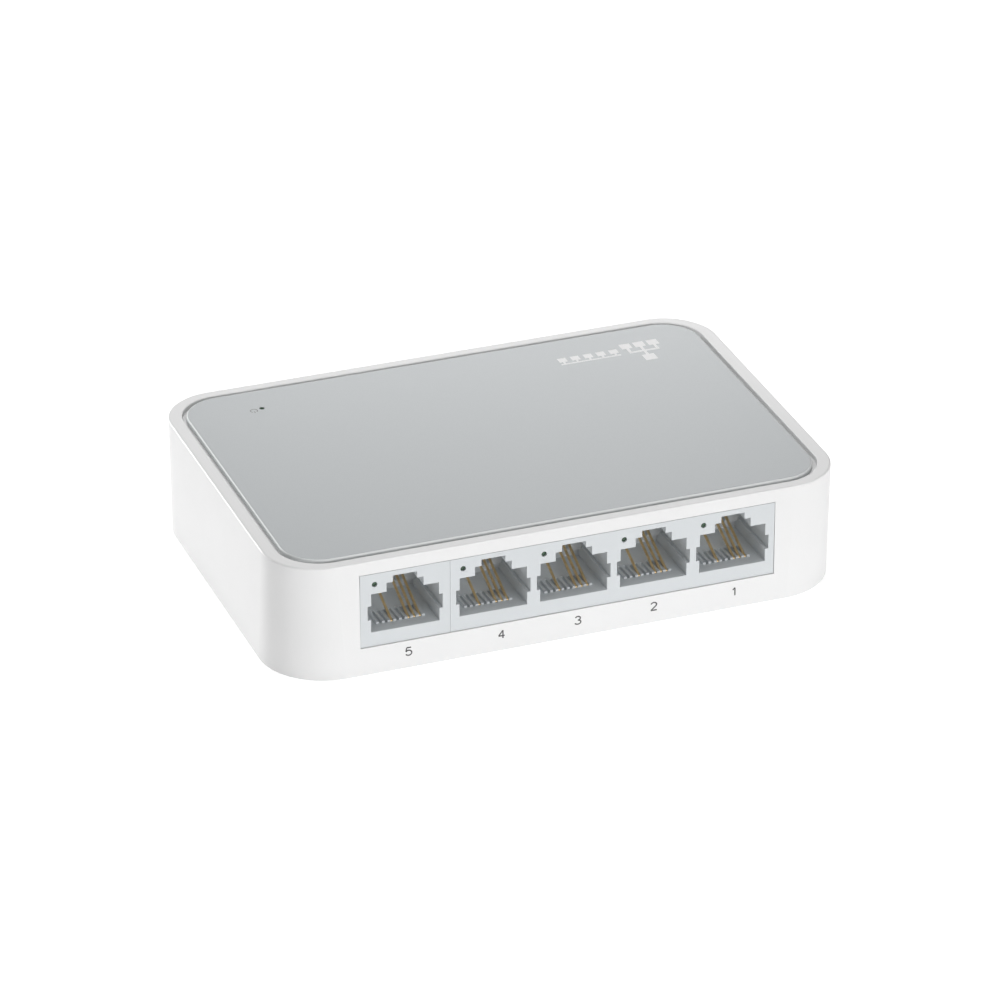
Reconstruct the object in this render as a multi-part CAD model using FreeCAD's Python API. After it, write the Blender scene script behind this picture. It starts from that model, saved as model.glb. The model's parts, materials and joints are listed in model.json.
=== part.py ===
"""Desktop network switch: five modular sockets and a power inlet on one board, in a two-part plastic case.

Millimetres, +Z up. The origin is on the surface that the feet rest on, under the centre of the case.
The sockets face -Y. Seen from that side +X is to the right, and the ports count 5, 4, 3, 2, 1 from the left.
"""

import FreeCAD, Part
import math
import os

Vector = FreeCAD.Vector
X_AXIS = Vector(1, 0, 0)
Y_AXIS = Vector(0, 1, 0)
Z_AXIS = Vector(0, 0, 1)

# ---------------------------------------------------------------- driving dimensions

# how far a cut or a joined piece reaches past the face that it meets, and the slack round a peg
overlap = 0.1

# case
case_length = 103.5
case_depth = 70.0
case_height = 22.0
foot_proud = 0.3
draft_inset = 0.3
bottom_corner_radius = 11.7
top_corner_radius = 9.75
interior_corner_radius = 8.75
top_edge_radius = 0.3
recess_edge_radius = 0.15
base_edge_radius = 0.2
wall_thickness = 2.0
roof_thickness = 1.3

# grey panel in the roof
panel_length = 96.4
panel_depth = 63.8
panel_corner_radius = 7.0
panel_thickness = 1.17
panel_edge_radius = 0.3
panel_proud = 0.17
groove_width = 0.85

# bottom cover and what fastens it
cover_gap = 0.15
cover_thickness = 1.8
post_x = 43.5
post_y = 26.0
post_radius = 2.8
post_hole_depth = 8.0
boss_wall = 0.6
boss_web = 1.6
board_boss_radius = 3.0
board_boss_floor = 0.7
screw_radius = 1.1
screw_head_radius = 2.3
screw_head_height = 1.2
screw_head_edge = 0.4
screw_length = 7.5
board_screw_length = 4.3
screw_bite = 0.05
screw_room = 0.2
driver_cross = (2.2, 0.5)
driver_depth = 0.7
foot_x = 32.5
foot_y = 26.0
foot_radius = 4.2
foot_thickness = 1.0
foot_edge = 0.25
pocket_room = 0.2
label_size = (46.0, 20.0)
label_y = -9.0
label_thickness = 0.1
label_gap = 0.05
vent_count = 11
vent_pitch = 4.2
vent_size = (1.6, 14.0)
vent_y = 13.5

# board
board_bottom = 4.0
board_thickness = 1.6
board_x = 47.0
board_y = (-32.3, 30.0)
board_corner_radius = 8.0
board_hole_room = 0.4
tail_end = 2.9
tail_hole_radius = 0.42
inlet_tail_holes = (1.0, 1.3)

# sockets
socket_face = -34.75
socket_height = 13.7
socket_depth = 15.6
single_span = (-37.45, -21.45)
quad_span = (-21.40, 37.70)
quad_port_pitch = 14.55
window_gap = 0.08
contact_pitch = 1.016
contact_count = 8
wired_contacts = (1, 2, 3, 6)

# space inside a socket: half widths and heights over the board, floor first
floor_height = 2.65
lower_half_width = 6.1
groove_half_width = 6.7
groove_from = 5.0
groove_to = 7.7
upper_half_width = 6.05
shoulder_height = 9.95
latch_half_width = 3.3
latch_height = 11.6
latch_tip_half_width = 2.15
latch_tip_height = 12.8
comb_front = 12.2
comb_back = 13.6
comb_bottom = 4.4
side_shelf_top = 6.1
ridge_front = 2.5
ridge_back = 7.4
ridge_height = 0.35
ridge_half_width = 4.35
slot_back = 7.0
slot_width = 0.5
slot_floor = 2.0
channel_room = 0.1

# contact wires
wire_width = 0.38
wire_thickness = 0.32
nose_radius = 0.4
nose_depth = 3.1
nose_height = 2.45
arm_length = 10.3
arm_rise = 22.0
terminal_gap = 0.15
tail_depths = (8.8, 11.3)
peg_radius = 0.8
peg_inset = 1.4
peg_depth = 9.0
peg_length = 2.2

# indicator lights
light_hole_radius = 0.5
light_pipe_radius = 0.47
port_light_offset = -5.4
port_light_height = 11.7
port_light_recess = 0.35
led_size = (1.6, 0.8, 0.6)
led_room = 0.15
power_light_x = -34.7
power_light_y = 24.9
power_pipe_radius = 1.5
power_pipe_tip_edge = 0.1

# parts on the board: places over it, and sizes
switch_chip_place = (0.0, 9.6)
switch_chip_size = (14.0, 14.0, 1.4)
magnetics_y = -9.5
single_magnetics_x = -30.0
single_magnetics_size = (12.7, 7.6, 5.6)
double_magnetics_x = (-6.0, 24.0)
double_magnetics_size = (26.0, 10.0, 6.0)
chip_standoff = 0.1
chip_edge = 0.25
lead_size = (0.3, 1.0, 0.2)
lead_knee = (0.3, 0.7)
lead_run_share = 0.86
crystal_place = (-15.0, 10.0)
crystal_base = (4.6, 11.4, 0.4)
crystal_can = (3.8, 6.4, 3.2)
capacitor_places = ((28.5, 2.5), (28.5, 21.5))
capacitor_base = (6.6, 6.6, 0.8)
capacitor_radius = 3.15
capacitor_top = 7.6
capacitor_waist = (3.35, 0.35, 1.9)
inductor_place = (19.5, 12.5)
inductor_base = (7.0, 7.0, 0.8)
inductor_core_radius = 2.6
inductor_cap_radius = 3.4
inductor_levels = (3.2, 4.2)
regulator_place = (18.5, 22.0)
regulator_size = (6.5, 3.5, 1.6)
regulator_leg = (0.7, 1.7, 0.4)
regulator_tab = (3.0, 1.7, 0.4)
regulator_pitch = 2.3
small_part_size = (1.6, 0.8, 0.6)
small_part_pitch = 2.4
small_part_count = 7
small_part_rows = (-0.6, 19.8)
socket_part_y = -17.0
socket_part_offset = 1.6
board_screw_places = ((-41.0, 4.0), (41.0, -6.0))

# power inlet: a 5.5 mm barrel over a 2.1 mm pin
inlet_x = (37.3, 51.5)
inlet_y = 12.0
inlet_width = 9.0
inlet_height = 11.0
inlet_axis_height = 6.3
inlet_bore_radius = 3.0
inlet_bore_depth = 9.6
pin_radius = 1.05
pin_root_width = 1.4
pin_tail_width = 1.8
pin_tail_thickness = 0.3
pin_tail_offset = 0.4
pin_recess = 0.6
pin_tip_radius = 0.5
spring_width = 2.0
spring_thickness = 0.3
spring_nose = (42.25, 2.35)
spring_crest = (47.6, 4.0)
spring_tip = (49.3, 2.9)
spring_slot_room = 0.3
spring_slot_rear = 0.95
spring_slot_wall = 1.5
spring_slot_levels = (1.7, 3.65)
spring_tail_top = 3.0

# ---------------------------------------------------------------- sizes worked out from them

case_bottom = foot_proud
rim_top = case_height - 0.03 - panel_proud
panel_top = rim_top + panel_proud
panel_bottom = panel_top - panel_thickness
roof_underside = panel_bottom - roof_thickness
board_top = board_bottom + board_thickness
socket_top = board_top + socket_height
cover_top = case_bottom + cover_thickness
screw_recess = screw_head_height + 0.2
screw_boss_top = case_bottom + screw_recess + boss_web
single_centre = sum(single_span) / 2
quad_centre = sum(quad_span) / 2
inlet_axis_z = board_top + inlet_axis_height
inlet_bore_floor = inlet_x[1] - inlet_bore_depth
port_light_y = socket_face + socket_depth + light_pipe_radius + 0.13
interior_length = case_length - 2 * (wall_thickness + draft_inset)
interior_depth = case_depth - 2 * (wall_thickness + draft_inset)
socket_window = (single_span[0] - window_gap, quad_span[1] + window_gap)


def port_centres():
    """Port number to the x of its middle, for ports 1 to 5."""
    centres = {5: single_centre}
    for place in range(4):
        centres[4 - place] = quad_centre + (place - 1.5) * quad_port_pitch
    return centres


# ---------------------------------------------------------------- shape helpers


def box(x_span, y_span, z_span):
    """A box from its low and high ends along each axis."""
    size = [span[1] - span[0] for span in (x_span, y_span, z_span)]
    return Part.makeBox(size[0], size[1], size[2], Vector(x_span[0], y_span[0], z_span[0]))


def block(x, y, z, size):
    """A box of this size standing at height z, centred over (x, y)."""
    return box((x - size[0] / 2, x + size[0] / 2), (y - size[1] / 2, y + size[1] / 2), (z, z + size[2]))


def upright(x, y, z_span, radius):
    """A vertical cylinder."""
    return Part.makeCylinder(radius, z_span[1] - z_span[0], Vector(x, y, z_span[0]), Z_AXIS)


def outline(length, depth, radius, z):
    """A rectangle with round corners, centred on the Z axis, as a closed wire."""
    half_x = length / 2
    half_y = depth / 2
    slant = radius * (1 - math.sqrt(0.5))
    edges = []
    for sx, sy in ((1, -1), (1, 1), (-1, 1), (-1, -1)):
        if sx * sy < 0:
            start = Vector(sx * (half_x - radius), sy * half_y, z)
            end = Vector(sx * half_x, sy * (half_y - radius), z)
        else:
            start = Vector(sx * half_x, sy * (half_y - radius), z)
            end = Vector(sx * (half_x - radius), sy * half_y, z)
        middle = Vector(sx * (half_x - slant), sy * (half_y - slant), z)
        if edges:
            edges.append(Part.LineSegment(edges[-1].Vertexes[-1].Point, start).toShape())
        edges.append(Part.Arc(start, middle, end).toShape())
    edges.append(Part.LineSegment(edges[-1].Vertexes[-1].Point, edges[0].Vertexes[0].Point).toShape())
    return Part.Wire(edges)


def rounded_block(length, depth, radius, z_span):
    """A block with round corners, centred on the Z axis."""
    face = Part.Face(outline(length, depth, radius, z_span[0]))
    return face.extrude(Vector(0, 0, z_span[1] - z_span[0]))


def edges_at(shape, z):
    """The edges of a shape that lie at one height."""
    return [edge for edge in shape.Edges if all(abs(v.Z - z) < 1e-6 for v in edge.Vertexes)]


def prism(points, direction):
    """A flat polygon moved along a direction."""
    wire = Part.makePolygon(points + points[:1])
    return Part.Face(wire).extrude(direction)


def sunk_cross(x, y, z, depth):
    """The cross-shaped driver recess of a screw, opening away from height z by a signed depth."""
    low = min(z, z + depth)
    length, width = driver_cross
    return block(x, y, low, (length, width, abs(depth))).fuse(block(x, y, low, (width, length, abs(depth))))


def save(name, shape):
    """Write one sub-part."""
    shape.exportStep(os.path.join("parts", name + ".step"))


# ---------------------------------------------------------------- case


def post_places():
    """The four corners where the case halves are screwed together."""
    return [(sx * post_x, sy * post_y) for sx in (-1, 1) for sy in (-1, 1)]


def inner_rim_edges(shell):
    """The edges where the rim's flat top meets the recess for the panel."""
    reach_x = panel_length / 2 + groove_width + overlap
    reach_y = panel_depth / 2 + groove_width + overlap
    edges = []
    for edge in edges_at(shell, rim_top):
        bounds = edge.BoundBox
        if max(bounds.XMax, -bounds.XMin) < reach_x and max(bounds.YMax, -bounds.YMin) < reach_y:
            edges.append(edge)
    return edges


def top_cover():
    """The white upper shell: walls down to the table, a roof recessed for the panel, four screw posts."""
    foot = outline(case_length, case_depth, bottom_corner_radius, case_bottom)
    head = outline(
        case_length - 2 * draft_inset, case_depth - 2 * draft_inset, top_corner_radius, rim_top
    )
    shell = Part.makeLoft([foot, head], True, True)
    shell = shell.makeFillet(top_edge_radius, edges_at(shell, rim_top))
    shell = shell.makeFillet(base_edge_radius, edges_at(shell, case_bottom))
    recess = rounded_block(
        panel_length + 2 * groove_width,
        panel_depth + 2 * groove_width,
        panel_corner_radius + groove_width,
        (panel_bottom, case_height + 1),
    )
    shell = shell.cut(recess)
    shell = shell.makeFillet(recess_edge_radius, inner_rim_edges(shell))
    interior = rounded_block(
        interior_length, interior_depth, interior_corner_radius, (-1, roof_underside)
    )
    sockets = box(
        socket_window,
        (-case_depth / 2 - 1, -interior_depth / 2 + 1),
        (board_top - window_gap, socket_top + window_gap),
    )
    inlet = box(
        (interior_length / 2 - 1, case_length / 2 + 1),
        (inlet_y - inlet_width / 2 - window_gap, inlet_y + inlet_width / 2 + window_gap),
        (board_top - window_gap, board_top + inlet_height + window_gap),
    )
    light = upright(power_light_x, power_light_y, (roof_underside - 1, case_height), light_hole_radius)
    shell = shell.cut([interior, sockets, inlet, light])
    posts = []
    holes = []
    for x, y in post_places():
        posts.append(upright(x, y, (screw_boss_top, roof_underside + overlap), post_radius))
        holes.append(
            upright(x, y, (screw_boss_top - 1, screw_boss_top + post_hole_depth), screw_radius + screw_bite)
        )
    return shell.fuse(posts).cut(holes).removeSplitter()


def top_panel():
    """The grey inset in the roof, with a rounded top edge and the power light's hole."""
    panel = rounded_block(panel_length, panel_depth, panel_corner_radius, (panel_bottom, panel_top))
    panel = panel.makeFillet(panel_edge_radius, edges_at(panel, panel_top))
    return panel.cut(upright(power_light_x, power_light_y, (panel_bottom, panel_top), light_hole_radius))


def foot_places():
    """Name to place of each rubber foot."""
    sides = {"left": -1, "right": 1}
    rows = {"front": -1, "back": 1}
    return {
        "rubber_foot_" + row + "_" + side: (sides[side] * foot_x, rows[row] * foot_y)
        for row in rows
        for side in sides
    }


def bottom_cover():
    """The white base plate inside the walls, with bosses, vents, and pockets for feet, screws and label."""
    plate = rounded_block(
        interior_length - 2 * cover_gap,
        interior_depth - 2 * cover_gap,
        interior_corner_radius - cover_gap,
        (case_bottom, cover_top),
    )
    adds = []
    cuts = []
    for x, y in post_places():
        adds.append(upright(x, y, (case_bottom, screw_boss_top), post_radius + boss_wall))
        cuts.append(upright(x, y, (-1, case_bottom + screw_recess), screw_head_radius + screw_room))
        cuts.append(upright(x, y, (-1, screw_boss_top + 1), screw_radius + screw_room))
    for x, y in board_screw_places:
        adds.append(upright(x, y, (case_bottom, board_bottom), board_boss_radius))
        hole = (case_bottom + board_boss_floor, board_bottom + 1)
        cuts.append(upright(x, y, hole, screw_radius + screw_bite))
    for x, y in foot_places().values():
        cuts.append(upright(x, y, (-1, foot_thickness), foot_radius + pocket_room))
    for place in range(vent_count):
        x = (place - (vent_count - 1) / 2) * vent_pitch
        cuts.append(block(x, vent_y, -1, vent_size + (cover_top + 2,)))
    pocket_depth = label_gap + label_thickness
    cuts.append(block(0, label_y, case_bottom - 1, label_size + (1 + pocket_depth,)))
    return plate.fuse(adds).cut(cuts).removeSplitter()


def rubber_foot(x, y):
    """A soft disc with a rounded lower edge, stuck in its pocket."""
    disc = upright(x, y, (0, foot_thickness), foot_radius)
    return disc.makeFillet(foot_edge, edges_at(disc, 0))


def rating_label():
    """The blank label in the base's shallow pocket."""
    return block(0, label_y, case_bottom + label_gap, label_size + (label_thickness,))


def case_screws():
    """Four screws up through the base into the top cover's posts."""
    screws = []
    for x, y in post_places():
        seat = case_bottom + screw_recess
        head = upright(x, y, (seat - screw_head_height, seat), screw_head_radius)
        head = head.makeFillet(screw_head_edge, edges_at(head, seat - screw_head_height))
        shank = upright(x, y, (seat, seat + screw_length), screw_radius)
        screws.append(head.fuse(shank).cut(sunk_cross(x, y, seat - screw_head_height, driver_depth)))
    return Part.makeCompound(screws)


def board_screws():
    """Two screws down through the board into the base's bosses."""
    screws = []
    for x, y in board_screw_places:
        crown = board_top + screw_head_height
        head = upright(x, y, (board_top, crown), screw_head_radius)
        head = head.makeFillet(screw_head_edge, edges_at(head, crown))
        shank = upright(x, y, (board_top - board_screw_length, board_top), screw_radius)
        screws.append(head.fuse(shank).cut(sunk_cross(x, y, crown, -driver_depth)))
    return Part.makeCompound(screws)


# ---------------------------------------------------------------- sockets


def contact_offset(number):
    """The sideways place of one contact of a socket: contact 1 is on the right."""
    return ((contact_count + 1) / 2 - number) * contact_pitch


def tail_y(number):
    """Where a contact's tail goes down: odd and even contacts take turns in two rows."""
    return socket_face + tail_depths[number % 2]


def socket_space(x):
    """What is hollow in a socket besides its slots: the plug's room, the latch channel, the light's hole."""
    front = socket_face - 1
    comb = socket_face + comb_front
    back = socket_face + comb_back
    levels = [
        (lower_half_width, floor_height, groove_from, comb),
        (groove_half_width, groove_from, groove_to, comb),
        (upper_half_width, groove_to, shoulder_height, comb),
        (latch_half_width, shoulder_height, latch_height, comb),
        (latch_tip_half_width, latch_height, latch_tip_height, comb),
        (lower_half_width, floor_height, comb_bottom, back),
    ]
    spaces = [
        box((x - half, x + half), (front, end), (board_top + low, board_top + high))
        for half, low, high, end in levels
    ]
    comb_half_width = ridge_half_width - overlap
    shelf = (board_top + side_shelf_top, board_top + shoulder_height)
    for side in (-1, 1):
        edges = sorted((x + side * comb_half_width, x + side * upper_half_width))
        spaces.append(box(edges, (comb, back), shelf))
    light = Part.makeCylinder(
        light_hole_radius,
        socket_depth + 2,
        Vector(x + port_light_offset, front, board_top + port_light_height),
        Y_AXIS,
    )
    return spaces + [light]


def comb_slot_height(offset):
    """How high the slot of a contact at this offset reaches: up to the ceiling above it."""
    if abs(offset) < latch_tip_half_width:
        return latch_tip_height
    if abs(offset) < latch_half_width:
        return latch_height
    return shoulder_height


def socket_slots(x):
    """The open floor slots, comb slots, and buried terminal channels and tail holes of one socket."""
    slots = []
    half = slot_width / 2
    front = socket_face + ridge_front
    channel_top = board_top + slot_floor + wire_thickness + channel_room
    for number in range(1, contact_count + 1):
        offset = contact_offset(number)
        across = (x + offset - half, x + offset + half)
        comb = (socket_face + comb_front - overlap, socket_face + comb_back)
        floor = (board_top + slot_floor, board_top + floor_height + ridge_height + overlap)
        rise = (board_top + floor_height, board_top + comb_slot_height(offset))
        slots.append(box(across, (front, socket_face + slot_back), floor))
        slots.append(box(across, comb, rise))
        if number in wired_contacts:
            tail = (tail_y(number) - half, tail_y(number) + half)
            slots.append(box(across, (front, tail[1]), (board_top + slot_floor, channel_top)))
            slots.append(box(across, tail, (board_top - 1, channel_top)))
    return slots


def floor_ridge(x):
    """The low ramp across a socket's floor that the front slots are cut in: it fades away towards the back."""
    front = socket_face + ridge_front
    back = socket_face + ridge_back
    root = board_top + floor_height - overlap
    top = board_top + floor_height + ridge_height
    left = x - ridge_half_width
    profile = [(front, root), (back, root), (back, root + overlap), (front, top)]
    return prism([Vector(left, y, z) for y, z in profile], Vector(2 * ridge_half_width, 0, 0))


def peg_places(span):
    """Where a socket housing's two locating pegs enter the board."""
    return [(span[0] + peg_inset, socket_face + peg_depth), (span[1] - peg_inset, socket_face + peg_depth)]


def socket_housing(span, centres):
    """One plastic moulding with a socket at each centre."""
    body = box(span, (socket_face, socket_face + socket_depth), (board_top, socket_top))
    spaces = []
    ridges = []
    slots = []
    for x in centres:
        spaces.extend(socket_space(x))
        ridges.append(floor_ridge(x))
        slots.extend(socket_slots(x))
    pegs = [
        upright(peg_x, peg_y, (board_top - peg_length, board_top + overlap), peg_radius)
        for peg_x, peg_y in peg_places(span)
    ]
    return body.cut(spaces).fuse(ridges + pegs).cut(slots).removeSplitter()


def contact_arm(x):
    """The springy part of one contact: a round nose in the floor slot and a straight arm up into the comb."""
    angle = math.radians(arm_rise)
    along = Vector(0, math.cos(angle), math.sin(angle))
    normal = Vector(0, -math.sin(angle), math.cos(angle))
    left = x - wire_width / 2
    centre = Vector(left, socket_face + nose_depth, board_top + nose_height)
    inner = nose_radius - wire_thickness
    nose_end = math.sqrt(nose_radius**2 - inner**2)
    top_start = centre + normal * nose_radius
    top_end = top_start + along * arm_length
    under_end = top_end - normal * wire_thickness
    under_start = centre + normal * inner + along * nose_end
    edges = [
        Part.LineSegment(top_start, top_end).toShape(),
        Part.LineSegment(top_end, under_end).toShape(),
        Part.LineSegment(under_end, under_start).toShape(),
        Part.Arc(under_start, centre - along * nose_radius, top_start).toShape(),
    ]
    return Part.Face(Part.Wire(edges)).extrude(Vector(wire_width, 0, 0))


def contact_terminal(x, number):
    """The fixed part of one contact: a run along the slot's floor and a tail down through the board."""
    across = (x - wire_width / 2, x + wire_width / 2)
    start = socket_face + nose_depth + nose_radius + terminal_gap
    tail = (tail_y(number) - wire_width / 2, tail_y(number) + wire_width / 2)
    low = board_top + slot_floor
    run = box(across, (start, tail[1]), (low, low + wire_thickness))
    return run.fuse(box(across, tail, (tail_end, low + wire_thickness))).removeSplitter()


def port_terminals(x):
    """The fixed parts of one socket's wired contacts."""
    return Part.makeCompound([contact_terminal(x + contact_offset(n), n) for n in wired_contacts])


def port_light_pipe(x):
    """A clear rod from the socket's face to behind the housing, then down to the light on the board."""
    place_x = x + port_light_offset
    height = board_top + port_light_height
    start = socket_face + port_light_recess
    bend = Vector(place_x, port_light_y, height)
    forward = Part.makeCylinder(
        light_pipe_radius, port_light_y - start, Vector(place_x, start, height), Y_AXIS
    )
    down = upright(place_x, port_light_y, (board_top + led_size[2] + led_room, height), light_pipe_radius)
    return forward.fuse([down, Part.makeSphere(light_pipe_radius, bend)])


# ---------------------------------------------------------------- board and its parts


def tail_places():
    """The board holes for the sockets' tails, pegs and the inlet's two tails, as x, y and radius."""
    places = []
    for x in port_centres().values():
        for number in wired_contacts:
            places.append((x + contact_offset(number), tail_y(number), tail_hole_radius))
    for span in (single_span, quad_span):
        for x, y in peg_places(span):
            places.append((x, y, peg_radius + overlap))
    pin_tail_x = inlet_x[0] - pin_tail_offset + pin_tail_thickness / 2
    places.append((pin_tail_x, inlet_y, inlet_tail_holes[0]))
    spring_tail_x = spring_nose[0] - nose_radius - terminal_gap - spring_thickness / 2
    places.append((spring_tail_x, inlet_y, inlet_tail_holes[1]))
    return places


def main_board():
    """The circuit board, with holes for posts, screws and tails."""
    depth = board_y[1] - board_y[0]
    board = rounded_block(2 * board_x, depth, board_corner_radius, (board_bottom, board_top))
    board.translate(Vector(0, sum(board_y) / 2, 0))
    through = (board_bottom - 1, board_top + 1)
    holes = [upright(x, y, through, post_radius + board_hole_room) for x, y in post_places()]
    holes += [upright(x, y, through, screw_radius + screw_room) for x, y in board_screw_places]
    holes += [upright(x, y, through, radius) for x, y, radius in tail_places()]
    return board.cut(holes)


def gull_wing_chip(x, y, body_size, lead_count, all_round):
    """A moulded chip with flat leads along two sides, or all four."""
    body = block(x, y, board_top + chip_standoff, body_size)
    body = body.makeChamfer(chip_edge, edges_at(body, board_top + chip_standoff + body_size[2]))
    knee_size = (lead_size[0],) + lead_knee
    leads = []
    sides = [(0, body_size[0], body_size[1])]
    if all_round:
        sides.append((90, body_size[1], body_size[0]))
    for turn, run, reach in sides:
        for place in range(lead_count):
            along = (place / (lead_count - 1) - 0.5) * run * lead_run_share
            for side in (-1, 1):
                foot = block(x + along, y + side * (reach + lead_size[1]) / 2, board_top, lead_size)
                knee = block(x + along, y + side * (reach + lead_knee[0]) / 2, board_top, knee_size)
                leg = foot.fuse(knee)
                leg.rotate(Vector(x, y, 0), Z_AXIS, turn)
                leads.append(leg)
    return body.fuse(leads).removeSplitter()


def crystal():
    """The clock crystal's metal can on its base."""
    x, y = crystal_place
    low = board_top + crystal_base[2]
    rise = (low, low + crystal_can[2])
    ends = [upright(x, y + side * crystal_can[1] / 2, rise, crystal_can[0] / 2) for side in (-1, 1)]
    can = block(x, y, low, crystal_can).fuse(ends)
    return can.fuse(block(x, y, board_top, crystal_base)).removeSplitter()


def smoothing_capacitors():
    """Two surface-mounted aluminium can capacitors on their plastic bases."""
    cans = []
    ring, bead, waist_height = capacitor_waist
    for x, y in capacitor_places:
        crown = board_top + capacitor_top
        can = upright(x, y, (board_top + capacitor_base[2], crown), capacitor_radius)
        can = can.makeFillet(screw_head_edge, edges_at(can, crown))
        waist = Part.makeTorus(ring, bead, Vector(x, y, board_top + waist_height), Z_AXIS)
        cans.append(can.cut(waist).fuse(block(x, y, board_top, capacitor_base)))
    return Part.makeCompound(cans)


def power_inductor():
    """A drum-wound power inductor."""
    x, y = inductor_place
    low, high = [board_top + level for level in inductor_levels]
    core = upright(x, y, (board_top, high), inductor_core_radius)
    cap = upright(x, y, (low, high), inductor_cap_radius)
    return block(x, y, board_top, inductor_base).fuse([core, cap]).removeSplitter()


def voltage_regulator():
    """A regulator with three leads and a wide tab."""
    x, y = regulator_place
    reach = (regulator_size[1] + regulator_leg[1]) / 2 - 2 * overlap
    body = block(x, y, board_top + chip_standoff, regulator_size)
    legs = [block(x + step * regulator_pitch, y - reach, board_top, regulator_leg) for step in (-1, 0, 1)]
    tab = block(x, y + reach, board_top, regulator_tab)
    return body.fuse(legs + [tab]).removeSplitter()


def small_parts():
    """The chip resistors and capacitors: two rows by the switch chip, and a pair behind each socket."""
    places = []
    for place in range(small_part_count):
        step = (place - (small_part_count - 1) / 2) * small_part_pitch
        places += [(step, y) for y in small_part_rows]
    for x in port_centres().values():
        places += [(x + side * socket_part_offset, socket_part_y) for side in (-1, 1)]
    return Part.makeCompound([block(x, y, board_top, small_part_size) for x, y in places])


def port_leds():
    """The five port lights on the board, one under each light pipe."""
    return Part.makeCompound(
        [block(x + port_light_offset, port_light_y, board_top, led_size) for x in port_centres().values()]
    )


def power_led():
    """The power light on the board."""
    return block(power_light_x, power_light_y, board_top, led_size)


def power_light_pipe():
    """A clear column from the power light to the panel's face: thick under the roof, thin through it."""
    shoulder = roof_underside - overlap
    foot = board_top + led_size[2] + led_room
    column = upright(power_light_x, power_light_y, (foot, shoulder), power_pipe_radius)
    tip = upright(power_light_x, power_light_y, (shoulder, case_height), light_pipe_radius)
    tip = tip.makeFillet(power_pipe_tip_edge, edges_at(tip, case_height))
    return column.fuse(tip)


# ---------------------------------------------------------------- power inlet


def inlet_housing():
    """The inlet's plastic block: a round bore for the barrel and a slot under it for the spring."""
    body = box(
        inlet_x,
        (inlet_y - inlet_width / 2, inlet_y + inlet_width / 2),
        (board_top, board_top + inlet_height),
    )
    floor_centre = Vector(inlet_bore_floor, inlet_y, inlet_axis_z)
    bore = Part.makeCylinder(inlet_bore_radius, inlet_bore_depth + 1, floor_centre, X_AXIS)
    half = spring_width / 2 + spring_slot_room
    rear = spring_nose[0] - spring_slot_rear
    across = (inlet_y - half, inlet_y + half)
    low, high = [board_top + level for level in spring_slot_levels]
    slot = box((rear, inlet_x[1] - spring_slot_wall), across, (low, high))
    tail_hole = box((rear, rear + spring_thickness + overlap), across, (board_top - 1, low + overlap))
    return body.cut([bore, pin_root((inlet_x[0] - 1, inlet_bore_floor + 1)), slot, tail_hole])


def pin_root(x_span):
    """The square root of the centre pin, or the hole that it fills."""
    half = pin_root_width / 2
    return box(x_span, (inlet_y - half, inlet_y + half), (inlet_axis_z - half, inlet_axis_z + half))


def inlet_centre_pin():
    """The centre pin, its square root through the block's rear wall, and its tail down behind the block."""
    tip = inlet_x[1] - pin_recess
    start = Vector(inlet_bore_floor, inlet_y, inlet_axis_z)
    pin = Part.makeCylinder(pin_radius, tip - inlet_bore_floor, start, X_AXIS)
    nose = [edge for edge in pin.Edges if all(abs(v.X - tip) < 1e-6 for v in edge.Vertexes)]
    pin = pin.makeFillet(pin_tip_radius, nose)
    rear = inlet_x[0] - pin_tail_offset
    thickness = (rear, rear + pin_tail_thickness)
    tail_half = pin_tail_width / 2
    leg_half = tail_half * 2 / 3
    knee = board_top + 2 * overlap
    tail = box(thickness, (inlet_y - tail_half, inlet_y + tail_half), (knee, inlet_axis_z + tail_half))
    leg = box(thickness, (inlet_y - leg_half, inlet_y + leg_half), (tail_end, knee))
    return pin.fuse([pin_root((rear, inlet_bore_floor)), tail, leg]).removeSplitter()


def inlet_spring():
    """The leaf that presses on the barrel: a round root, a crest in the bore and a turned-down tip."""
    left = inlet_y - spring_width / 2
    root, crest, tip = [
        Vector(x, left, board_top + height) for x, height in (spring_nose, spring_crest, spring_tip)
    ]
    drop = Vector(0, 0, -spring_thickness)
    leaf = prism([root + Z_AXIS * nose_radius, crest, crest + drop, root], Vector(0, spring_width, 0))
    lip = prism([crest, tip, tip + drop, crest + drop], Vector(0, spring_width, 0))
    nose = Part.makeCylinder(nose_radius, spring_width, root, Y_AXIS)
    return nose.fuse([leaf, lip]).removeSplitter()


def inlet_spring_terminal():
    """The fixed tail beside the leaf's root, down through the board."""
    front = spring_nose[0] - nose_radius - terminal_gap
    half = spring_width / 2
    across = (inlet_y - half, inlet_y + half)
    return box((front - spring_thickness, front), across, (tail_end, board_top + spring_tail_top))


# ---------------------------------------------------------------- every sub-part


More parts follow.
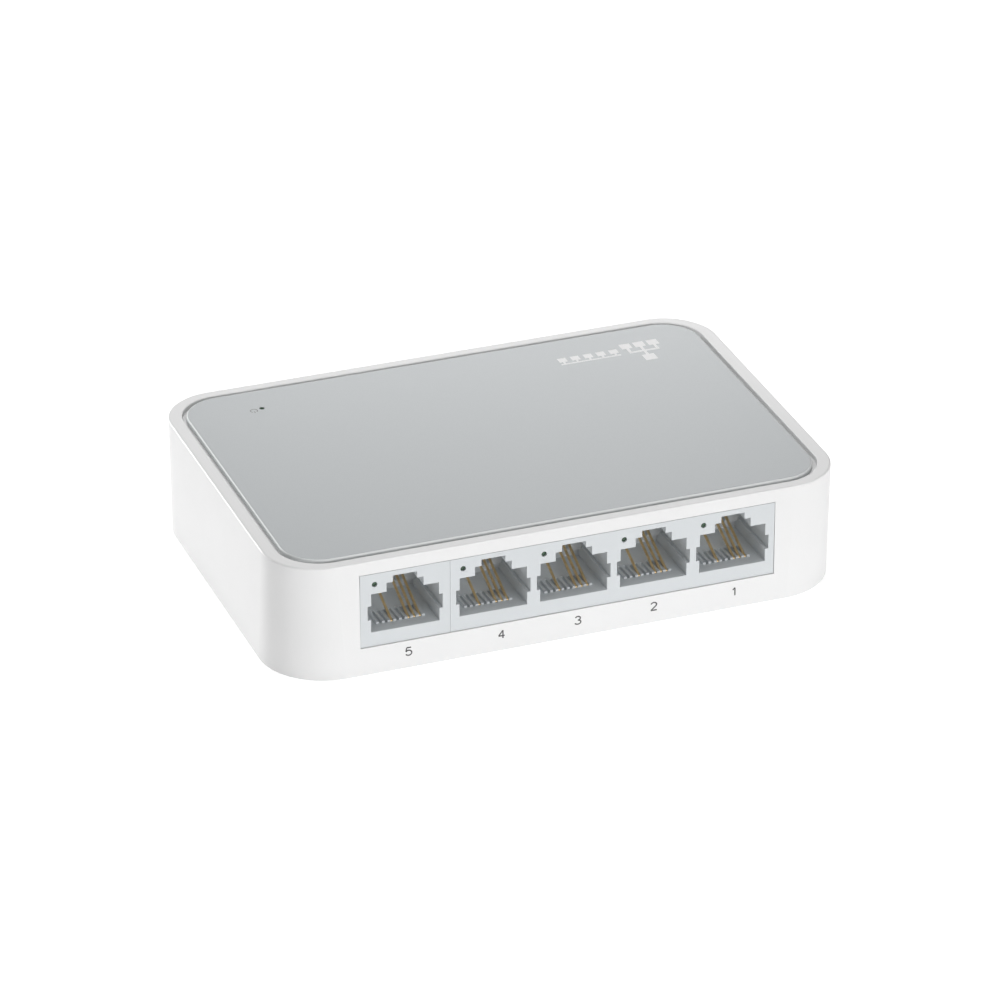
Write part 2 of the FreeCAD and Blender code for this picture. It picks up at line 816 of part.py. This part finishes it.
def build():
    """Make every sub-part and write it under its own name."""
    os.makedirs("parts", exist_ok=True)
    centres = port_centres()
    save("top_cover", top_cover())
    save("top_panel", top_panel())
    save("bottom_cover", bottom_cover())
    save("rating_label", rating_label())
    save("case_screws", case_screws())
    save("board_screws", board_screws())
    for name, (x, y) in foot_places().items():
        save(name, rubber_foot(x, y))
    save("main_board", main_board())
    save("socket_housing_port_5", socket_housing(single_span, [centres[5]]))
    save("socket_housing_ports_1_to_4", socket_housing(quad_span, [centres[n] for n in (1, 2, 3, 4)]))
    for port, x in centres.items():
        for number in wired_contacts:
            save("port_%d_contact_%d" % (port, number), contact_arm(x + contact_offset(number)))
        save("port_%d_terminals" % port, port_terminals(x))
        save("port_%d_light_pipe" % port, port_light_pipe(x))
    save("port_leds", port_leds())
    save("power_led", power_led())
    save("power_light_pipe", power_light_pipe())
    save("switch_chip", gull_wing_chip(*switch_chip_place, switch_chip_size, 16, True))
    save("magnetics_port_5", gull_wing_chip(single_magnetics_x, magnetics_y, single_magnetics_size, 8, False))
    for name, x in zip(("magnetics_ports_3_4", "magnetics_ports_1_2"), double_magnetics_x):
        save(name, gull_wing_chip(x, magnetics_y, double_magnetics_size, 16, False))
    save("crystal", crystal())
    save("smoothing_capacitors", smoothing_capacitors())
    save("power_inductor", power_inductor())
    save("voltage_regulator", voltage_regulator())
    save("small_parts", small_parts())
    save("inlet_housing", inlet_housing())
    save("inlet_centre_pin", inlet_centre_pin())
    save("inlet_spring", inlet_spring())
    save("inlet_spring_terminal", inlet_spring_terminal())


build()
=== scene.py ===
"""The looks of the desktop network switch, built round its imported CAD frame.

Everything is in metres in the CAD's own frame: +Z up, the sockets face -Y, the origin is on the surface
that the feet rest on. Nothing of the CAD is moved. Places on the case come from the frame's boxes. The
camera's place was fitted to the reference, and the lights were set by comparing grey levels with it.
"""

import json
import math

import bmesh
import bpy
from mathutils import Matrix, Vector


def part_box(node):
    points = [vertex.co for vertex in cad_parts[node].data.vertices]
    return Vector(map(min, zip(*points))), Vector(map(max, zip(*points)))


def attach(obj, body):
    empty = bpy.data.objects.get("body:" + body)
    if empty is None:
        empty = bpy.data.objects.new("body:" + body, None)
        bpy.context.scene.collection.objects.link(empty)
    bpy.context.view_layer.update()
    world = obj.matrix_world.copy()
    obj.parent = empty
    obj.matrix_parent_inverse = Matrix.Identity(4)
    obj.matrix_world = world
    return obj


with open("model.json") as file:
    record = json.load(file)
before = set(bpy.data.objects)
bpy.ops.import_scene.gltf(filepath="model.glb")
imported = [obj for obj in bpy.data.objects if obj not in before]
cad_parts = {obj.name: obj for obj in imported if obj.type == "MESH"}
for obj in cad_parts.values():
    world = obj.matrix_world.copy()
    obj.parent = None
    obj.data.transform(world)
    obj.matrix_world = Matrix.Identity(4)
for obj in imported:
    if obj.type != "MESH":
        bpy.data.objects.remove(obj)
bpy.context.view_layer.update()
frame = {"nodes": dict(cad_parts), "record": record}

MM = 0.001
nodes_of = frame["nodes"]

# ---------------------------------------------------------------- places read from the frame

shell_low, shell_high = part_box("top_cover")
panel_low, panel_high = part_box("top_panel")
wall_lean = 0.3 * MM
wall_slope = math.atan(wall_lean / (shell_high.z - shell_low.z))
contact_pitch = 1.016 * MM
contacts_in_row = 8


def port_x(port):
    """The x of a socket's middle: contact 1 is three and a half pitches right of it."""
    low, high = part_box("port_%d_contact_1" % port)
    return (low.x + high.x) / 2 - (contacts_in_row - 1) / 2 * contact_pitch


# ---------------------------------------------------------------- printing, in millimetres

numeral_height = 3.46
numeral_stroke = 0.25
numeral_thickness = 0.012
numeral_sink = 0.007
numeral_asides = {1: 0.5, 2: 0.1, 3: 0.7, 4: 1.4, 5: 0.45}
mark_thickness = 0.008
network_sign_inset = (11.48, 9.28)
ports_sign_inset = (21.78, 8.58)
power_sign_inset = (-11.88, 7.48)


# ---------------------------------------------------------------- material tools


def grey(level):
    """A neutral colour of this brightness."""
    return (level, level, level, 1.0)


def tinted(red, green, blue):
    """A colour from its linear parts."""
    return (red, green, blue, 1.0)


def new_material(name, colour, roughness, metallic=0.0, specular=0.5):
    """A material with its node tree, its shader and its object coordinates."""
    material = bpy.data.materials.new(name)
    material.use_nodes = True
    tree = material.node_tree
    shader = tree.nodes["Principled BSDF"]
    shader.inputs["Base Color"].default_value = colour
    shader.inputs["Roughness"].default_value = roughness
    shader.inputs["Metallic"].default_value = metallic
    shader.inputs["Specular IOR Level"].default_value = specular
    coords = tree.nodes.new("ShaderNodeTexCoord")
    return material, tree, shader, coords.outputs["Object"]


def noise(tree, coords, scale, detail=2.0, roughness=0.5):
    """A noise field; scale is in cells per metre."""
    node = tree.nodes.new("ShaderNodeTexNoise")
    node.inputs["Scale"].default_value = scale
    node.inputs["Detail"].default_value = detail
    node.inputs["Roughness"].default_value = roughness
    tree.links.new(coords, node.inputs["Vector"])
    return node.outputs["Fac"]


def ramp(tree, value, stops):
    """A colour ramp over a value; stops are (place, colour)."""
    node = tree.nodes.new("ShaderNodeValToRGB")
    node.color_ramp.elements[0].position = stops[0][0]
    node.color_ramp.elements[0].color = stops[0][1]
    node.color_ramp.elements[1].position = stops[-1][0]
    node.color_ramp.elements[1].color = stops[-1][1]
    for place, colour in stops[1:-1]:
        element = node.color_ramp.elements.new(place)
        element.color = colour
    tree.links.new(value, node.inputs["Fac"])
    return node.outputs["Color"]


def spread(tree, value, low, high):
    """A value between 0 and 1 spread over another range."""
    node = tree.nodes.new("ShaderNodeMapRange")
    node.inputs["To Min"].default_value = low
    node.inputs["To Max"].default_value = high
    tree.links.new(value, node.inputs["Value"])
    return node.outputs["Result"]


def mixed(tree, share, first, second):
    """Two colours mixed by a share; each may be a colour or a socket."""
    node = tree.nodes.new("ShaderNodeMix")
    node.data_type = "RGBA"
    tree.links.new(share, node.inputs["Factor"])
    for value, socket in ((first, node.inputs[6]), (second, node.inputs[7])):
        if isinstance(value, tuple):
            socket.default_value = value
        else:
            tree.links.new(value, socket)
    return node.outputs[2]


def bump(tree, shader, height, strength, depth):
    """Surface relief from a height field; depth in metres."""
    node = tree.nodes.new("ShaderNodeBump")
    node.inputs["Strength"].default_value = strength
    node.inputs["Distance"].default_value = depth
    tree.links.new(height, node.inputs["Height"])
    tree.links.new(node.outputs["Normal"], shader.inputs["Normal"])


def varied(tree, shader, coords, colour, share, scale):
    """The base colour wandering a little to either side, in soft patches."""
    patches = noise(tree, coords, scale, 3.0)
    light = tuple(min(1.0, part * (1 + share)) for part in colour[:3]) + (1.0,)
    dark = tuple(part * (1 - share) for part in colour[:3]) + (1.0,)
    tree.links.new(ramp(tree, patches, [(0.3, dark), (0.7, light)]), shader.inputs["Base Color"])


# ---------------------------------------------------------------- materials


def moulded_plastic(name, colour, roughness, grain, grain_depth):
    """Moulded plastic: soft patches of tone, uneven sheen and the fine grain of the tool's surface."""
    material, tree, shader, coords = new_material(name, colour, roughness)
    varied(tree, shader, coords, colour, 0.012, 60)
    sheen = spread(tree, noise(tree, coords, 420, 2.0), roughness - 0.05, roughness + 0.05)
    tree.links.new(sheen, shader.inputs["Roughness"])
    bump(tree, shader, noise(tree, coords, grain, 3.0, 0.6), 0.35, grain_depth)
    return material


def socket_nylon():
    """Pale grey nylon, with a faint glow as a lighting aid that a real socket doesn't have."""
    colour = tinted(0.60, 0.625, 0.64)
    glow = 0.04
    material = moulded_plastic("socket_plastic", colour, 0.45, 3200, 0.01 * MM)
    shader = material.node_tree.nodes["Principled BSDF"]
    shader.inputs["Emission Color"].default_value = colour
    shader.inputs["Emission Strength"].default_value = glow
    return material


def panel_lacquer():
    """Satin silver-grey lacquer: fine flake in the flat face, and a duller sloping edge whose paler colour is
    a painted highlight of the bevel.
    """
    flat_colour = tinted(0.475, 0.497, 0.507)
    # The paler colour of the sloping edge is a painted highlight, standing in for the light that the bevel
    # catches.
    painted_edge_highlight_colour = tinted(0.74, 0.76, 0.76)
    edge_roughness = grey(0.6)
    material, tree, shader, coords = new_material("panel_lacquer", flat_colour, 0.36, 0.15)
    flakes = noise(tree, coords, 9000, 1.0)
    flat = ramp(tree, flakes, [(0.25, tinted(0.455, 0.477, 0.487)), (0.75, tinted(0.495, 0.517, 0.527))])
    geometry = tree.nodes.new("ShaderNodeNewGeometry")
    parts = tree.nodes.new("ShaderNodeSeparateXYZ")
    tree.links.new(geometry.outputs["Normal"], parts.inputs["Vector"])
    facing_up = tree.nodes.new("ShaderNodeMapRange")
    facing_up.inputs["From Min"].default_value = 0.90
    facing_up.inputs["From Max"].default_value = 0.995
    tree.links.new(parts.outputs["Z"], facing_up.inputs["Value"])
    share_outside_painted_highlight = facing_up.outputs["Result"]
    # Faces that tilt away from up take the paler colour: a painted highlight on the bevel.
    tree.links.new(mixed(tree, share_outside_painted_highlight, painted_edge_highlight_colour, flat), shader.inputs["Base Color"])
    sheen = spread(tree, noise(tree, coords, 900, 2.0), 0.32, 0.40)
    tree.links.new(mixed(tree, share_outside_painted_highlight, edge_roughness, sheen), shader.inputs["Roughness"])
    bump(tree, shader, flakes, 0.08, 0.01 * MM)
    return material


def plated_metal(name, colour, roughness, streak_axis):
    """Drawn and plated wire or sheet: fine draw lines along one axis, soft tarnish patches."""
    material, tree, shader, coords = new_material(name, colour, roughness, 1.0)
    stretch = tree.nodes.new("ShaderNodeMapping")
    stretch.inputs["Scale"].default_value = [0.04 if axis == streak_axis else 1.0 for axis in "xyz"]
    tree.links.new(coords, stretch.inputs["Vector"])
    lines = noise(tree, stretch.outputs["Vector"], 14000, 2.0)
    varied(tree, shader, coords, colour, 0.10, 900)
    tree.links.new(spread(tree, lines, roughness - 0.08, roughness + 0.10), shader.inputs["Roughness"])
    bump(tree, shader, lines, 0.15, 0.01 * MM)
    return material


def lens_green(name, colour):
    """Clear green light pipe, seen unlit: deep colour under a glossy skin."""
    material, tree, shader, coords = new_material(name, colour, 0.12)
    shader.inputs["Coat Weight"].default_value = 0.6
    shader.inputs["Coat Roughness"].default_value = 0.05
    varied(tree, shader, coords, colour, 0.25, 1500)
    return material


def rubber():
    """Matt grey rubber with a fine pebbled skin."""
    colour = grey(0.20)
    material, tree, shader, coords = new_material("foot_rubber", colour, 0.8, specular=0.25)
    varied(tree, shader, coords, colour, 0.08, 300)
    bump(tree, shader, noise(tree, coords, 3500, 4.0, 0.7), 0.6, 0.05 * MM)
    return material


def print_ink(name, colour):
    """Pad-printed ink: flat, a little uneven in density."""
    material, tree, shader, coords = new_material(name, colour, 0.55)
    varied(tree, shader, coords, colour, 0.05, 4000)
    return material


def board_mask():
    """Green solder mask over copper tracks, with the bare laminate's weave faintly showing."""
    colour = tinted(0.02, 0.12, 0.05)
    material, tree, shader, coords = new_material("board_mask", colour, 0.28)
    brick = tree.nodes.new("ShaderNodeTexBrick")
    brick.inputs["Scale"].default_value = 260
    brick.inputs["Mortar Size"].default_value = 0.012
    brick.inputs["Color1"].default_value = tinted(0.018, 0.11, 0.045)
    brick.inputs["Color2"].default_value = tinted(0.022, 0.13, 0.055)
    brick.inputs["Mortar"].default_value = tinted(0.05, 0.24, 0.10)
    tree.links.new(coords, brick.inputs["Vector"])
    tree.links.new(brick.outputs["Color"], shader.inputs["Base Color"])
    bump(tree, shader, brick.outputs["Fac"], 0.3, 0.03 * MM)
    return material


def wound_ferrite():
    """Dark sintered ferrite with a coarse dry grain."""
    colour = grey(0.03)
    material, tree, shader, coords = new_material("ferrite", colour, 0.7)
    varied(tree, shader, coords, colour, 0.3, 1500)
    bump(tree, shader, noise(tree, coords, 6000, 3.0), 0.5, 0.03 * MM)
    return material


def blank_label():
    """Silver-white label film with a faint fibre."""
    colour = tinted(0.72, 0.73, 0.74)
    material, tree, shader, coords = new_material("label_film", colour, 0.35)
    varied(tree, shader, coords, colour, 0.02, 200)
    bump(tree, shader, noise(tree, coords, 1200, 5.0, 0.7), 0.2, 0.01 * MM)
    return material


materials = {
    "white_shell": moulded_plastic("white_shell", tinted(0.79, 0.79, 0.79), 0.34, 2600, 0.02 * MM),
    "grey_panel": panel_lacquer(),
    "socket_plastic": socket_nylon(),
    "contact_gold": plated_metal("contact_gold", tinted(0.80, 0.60, 0.33), 0.5, "y"),
    "tinned_wire": plated_metal("tinned_wire", grey(0.62), 0.35, "z"),
    "foot_rubber": rubber(),
    "screw_steel": plated_metal("screw_steel", grey(0.55), 0.32, "z"),
    "label_film": blank_label(),
    "board_laminate": board_mask(),
    "chip_epoxy": moulded_plastic("chip_epoxy", grey(0.018), 0.5, 5000, 0.02 * MM),
    "can_metal": plated_metal("can_metal", grey(0.72), 0.3, "z"),
    "ferrite": wound_ferrite(),
    "ceramic_chip": moulded_plastic("ceramic_chip", tinted(0.36, 0.26, 0.18), 0.5, 4000, 0.01 * MM),
    "light_pipe": lens_green("light_pipe", tinted(0.022, 0.065, 0.03)),
    "led_body": moulded_plastic("led_body", tinted(0.7, 0.7, 0.6), 0.3, 5000, 0.005 * MM),
    "inlet_plastic": moulded_plastic("inlet_plastic", grey(0.012), 0.35, 3200, 0.015 * MM),
    "nickel": plated_metal("nickel", tinted(0.68, 0.66, 0.62), 0.18, "x"),
}
dark_ink = print_ink("dark_print", grey(0.08))
grey_ink = print_ink("grey_print", grey(0.25))
white_ink = print_ink("white_print", grey(0.92))


def dress_cad_nodes():
    """Each CAD node takes the material made for its slot."""
    for row in frame["record"]["subparts"]:
        node = nodes_of[row["node"]]
        node.data.materials.clear()
        node.data.materials.append(materials[row["material_slot"]])


# ---------------------------------------------------------------- printed marks


def as_piece(name, mesh_object, material):
    """A finished mesh in place becomes a piece of the case."""
    mesh_object.name = name
    mesh_object.data.name = name
    mesh_object.data.materials.clear()
    mesh_object.data.materials.append(material)
    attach(mesh_object, "case")
    return mesh_object


def sweep(centre, radii, start, end, steps=18):
    """Points along part of an ellipse, between two angles in degrees."""
    angles = [math.radians(start + (end - start) * step / steps) for step in range(steps + 1)]
    return [(centre[0] + radii[0] * math.cos(a), centre[1] + radii[1] * math.sin(a)) for a in angles]


def numeral_strokes(digit):
    """The middle lines of a plain numeral's strokes, in millimetres round its own middle."""
    half_width = 0.55
    half_height = 0.74
    foot_left, foot_right = (-half_width, -half_height), (half_width, -half_height)
    if digit == 1:
        return [[(-0.34, 0.36), (0.06, half_height)], [(0.06, half_height), (0.06, -half_height)]]
    if digit == 2:
        return [sweep((0.0, 0.33), (0.50, 0.41), 165, -35) + [foot_left], [foot_left, foot_right]]
    if digit == 3:
        upper_bowl = sweep((0.0, 0.38), (0.46, 0.36), 160, -90)
        lower_bowl = sweep((0.0, -0.36), (half_width, 0.38), 90, -160)
        return [upper_bowl, lower_bowl]
    if digit == 4:
        bar_left, bar_right = (-half_width, -0.28), (half_width, -0.28)
        stem_top, stem_foot = (0.24, half_height), (0.24, -half_height)
        return [[stem_foot, stem_top], [stem_top, bar_left], [bar_left, bar_right]]
    bowl = sweep((0.0, -0.26), (half_width, 0.48), 150, -155)
    shoulder = (-0.34, half_height)
    return [[(0.44, half_height), shoulder], [shoulder, bowl[0]], bowl]


def numeral(digit, stroke, thickness):
    """A printed number as thin flat strokes, centred on the origin in its own XY plane."""
    name = "port_number_%d" % digit
    curve = bpy.data.curves.new(name, "CURVE")
    curve.dimensions = "3D"
    curve.bevel_depth = stroke / 2
    curve.bevel_resolution = 2
    curve.use_fill_caps = True
    for points in numeral_strokes(digit):
        spline = curve.splines.new("POLY")
        spline.points.add(len(points) - 1)
        for point, (u, v) in zip(spline.points, points):
            point.co = (u * MM, v * MM, 0, 1)
    holder = bpy.data.objects.new(name + "_lines", curve)
    bpy.context.scene.collection.objects.link(holder)
    bpy.context.view_layer.update()
    depsgraph = bpy.context.evaluated_depsgraph_get()
    mesh = bpy.data.meshes.new_from_object(holder.evaluated_get(depsgraph))
    bpy.data.objects.remove(holder)
    mesh.transform(Matrix.Diagonal((1, 1, thickness / stroke, 1)))
    printed = bpy.data.objects.new(name, mesh)
    bpy.context.scene.collection.objects.link(printed)
    return printed


def port_numbers():
    """The port numbers printed under the sockets, each a little to one side of its socket's middle."""
    height = numeral_height * MM
    wall_y = shell_low.y + (height - shell_low.z) * math.tan(wall_slope)
    lean = Matrix.Rotation(math.radians(90) - wall_slope, 4, "X")
    for port, aside in numeral_asides.items():
        printed = numeral(port, numeral_stroke * MM, numeral_thickness * MM)
        place = Matrix.Translation((port_x(port) + aside * MM, wall_y - numeral_sink * MM, height))
        printed.data.transform(place @ lean)
        as_piece("port_number_%d" % port, printed, dark_ink)


def flat_mark(name, shapes, inset, material):
    """A mark printed on the panel from flat outlines, turned to be read from the side away from the sockets.

    Its middle lies inset from the panel's far corners, the right one where the first number is positive.
    """
    thickness = mark_thickness * MM
    side = panel_high.x if inset[0] > 0 else panel_low.x
    centre = (side - inset[0] * MM, panel_high.y - inset[1] * MM)
    mesh = bmesh.new()
    for outline in shapes:
        lower = [
            mesh.verts.new((centre[0] - u * MM, centre[1] - v * MM, panel_high.z - thickness / 2))
            for u, v in outline
        ]
        face = mesh.faces.new(lower)
        raised = bmesh.ops.extrude_face_region(mesh, geom=[face])
        top = [part for part in raised["geom"] if isinstance(part, bmesh.types.BMVert)]
        bmesh.ops.translate(mesh, verts=top, vec=(0, 0, thickness))
    bmesh.ops.recalc_face_normals(mesh, faces=mesh.faces)
    data = bpy.data.meshes.new(name)
    mesh.to_mesh(data)
    mesh.free()
    mark = bpy.data.objects.new(name, data)
    bpy.context.scene.collection.objects.link(mark)
    as_piece(name, mark, material)


def bar(u, v, width, height):
    """A rectangle's outline round (u, v)."""
    left, right = u - width / 2, u + width / 2
    foot, top = v - height / 2, v + height / 2
    return [(left, foot), (right, foot), (right, top), (left, top)]


def arc_band(radius, width, start, end, steps=28):
    """The outline of part of a ring."""
    outer = radius + width / 2
    inner = radius - width / 2
    return sweep((0, 0), (outer, outer), start, end, steps) + sweep((0, 0), (inner, inner), end, start, steps)


def panel_marks():
    """A plain network-tree sign, a plain row of five squares on a line, and the common power sign."""
    tree = [bar(0, 2.75, 2.3, 2.3), bar(0, 0.95, 0.55, 1.3), bar(0, 0.05, 5.75, 0.55)]
    for step in (-2.6, 0, 2.6):
        tree.append(bar(step, -0.9, 0.55, 1.4))
        tree.append(bar(step, -2.6, 2.0, 2.0))
    flat_mark("network_sign", tree, network_sign_inset, white_ink)
    row = [bar(0, 0.95, 11.4, 0.4)]
    for place in range(5):
        step = (place - 2) * 2.45
        row.append(bar(step, 0.42, 0.4, 0.7))
        row.append(bar(step, -0.7, 1.6, 1.6))
    flat_mark("ports_sign", row, ports_sign_inset, white_ink)
    power = [arc_band(0.62, 0.16, 125, 415), bar(0, 0.52, 0.16, 0.6)]
    flat_mark("power_sign", power, power_sign_inset, grey_ink)


# ---------------------------------------------------------------- studio


def soft_box(name, place, width, height, power):
    """A soft light at a place in metres, pointed at the middle of the case; its power is in watts."""
    data = bpy.data.lights.new(name, "AREA")
    data.shape = "RECTANGLE"
    data.size = width
    data.size_y = height
    data.energy = power
    light = bpy.data.objects.new(name, data)
    light.location = place
    aim = Vector((0, 0, shell_high.z / 2))
    light.rotation_euler = (aim - Vector(place)).to_track_quat("-Z", "Y").to_euler()
    bpy.context.scene.collection.objects.link(light)


def table_paper():
    """Bright paper with a glow of its own, clear from below so that the case's underside can be seen."""
    paper = grey(0.92)
    glow = 0.45
    material, tree, shader, coords = new_material("table_paper", paper, 0.9, specular=0.1)
    varied(tree, shader, coords, paper, 0.004, 8)
    shader.inputs["Emission Color"].default_value = grey(1.0)
    shader.inputs["Emission Strength"].default_value = glow
    side = tree.nodes.new("ShaderNodeNewGeometry")
    clear = tree.nodes.new("ShaderNodeBsdfTransparent")
    choice = tree.nodes.new("ShaderNodeMixShader")
    tree.links.new(side.outputs["Backfacing"], choice.inputs["Fac"])
    tree.links.new(shader.outputs["BSDF"], choice.inputs[1])
    tree.links.new(clear.outputs["BSDF"], choice.inputs[2])
    tree.links.new(choice.outputs["Shader"], tree.nodes["Material Output"].inputs["Surface"])
    return material


def studio():
    """A dim sky, six soft boxes and a pale table."""
    world = bpy.data.worlds.new("studio")
    world.use_nodes = True
    world.node_tree.nodes["Background"].inputs["Color"].default_value = grey(1.0)
    world.node_tree.nodes["Background"].inputs["Strength"].default_value = 0.06
    bpy.context.scene.world = world
    soft_box("raking_box", place=(-0.42, 0.70, 0.16), width=0.30, height=0.30, power=4.6)
    soft_box("front_box", place=(0.20, -0.89, 0.22), width=0.40, height=0.30, power=3.9)
    soft_box("right_front_box", place=(0.42, -0.73, 0.20), width=0.40, height=0.30, power=0.3)
    soft_box("overhead_box", place=(0.0, 0.0, 0.70), width=0.30, height=0.30, power=2.15)
    soft_box("corner_box", place=(-0.31, -0.22, 0.58), width=0.12, height=0.12, power=0.25)
    soft_box("back_box", place=(0.17, 0.46, 0.17), width=0.25, height=0.12, power=0.47)
    table()


def table():
    """The table that the case stands on."""
    table_mesh = bpy.data.meshes.new("table")
    reach = 3.0
    table_mesh.from_pydata(
        [(-reach, -reach, 0), (reach, -reach, 0), (reach, reach, 0), (-reach, reach, 0)], [], [(0, 1, 2, 3)]
    )
    top = bpy.data.objects.new("table", table_mesh)
    bpy.context.scene.collection.objects.link(top)
    table_mesh.materials.append(table_paper())


def camera():
    """A long lens from the front left, above: the viewing angle of the reference."""
    data = bpy.data.cameras.new("camera")
    data.lens = 197.96
    data.sensor_width = 36.0
    data.clip_end = 10.0
    eye = Vector((-0.2987, -0.7956, 0.4583))
    aim = Vector((0.00031, -0.00073, 0.00992))
    view = bpy.data.objects.new("camera", data)
    view.location = eye
    view.rotation_euler = (aim - eye).to_track_quat("-Z", "Y").to_euler()
    bpy.context.scene.collection.objects.link(view)
    bpy.context.scene.camera = view
    bpy.context.scene.view_settings.view_transform = "Standard"


dress_cad_nodes()
port_numbers()
panel_marks()
studio()
camera()
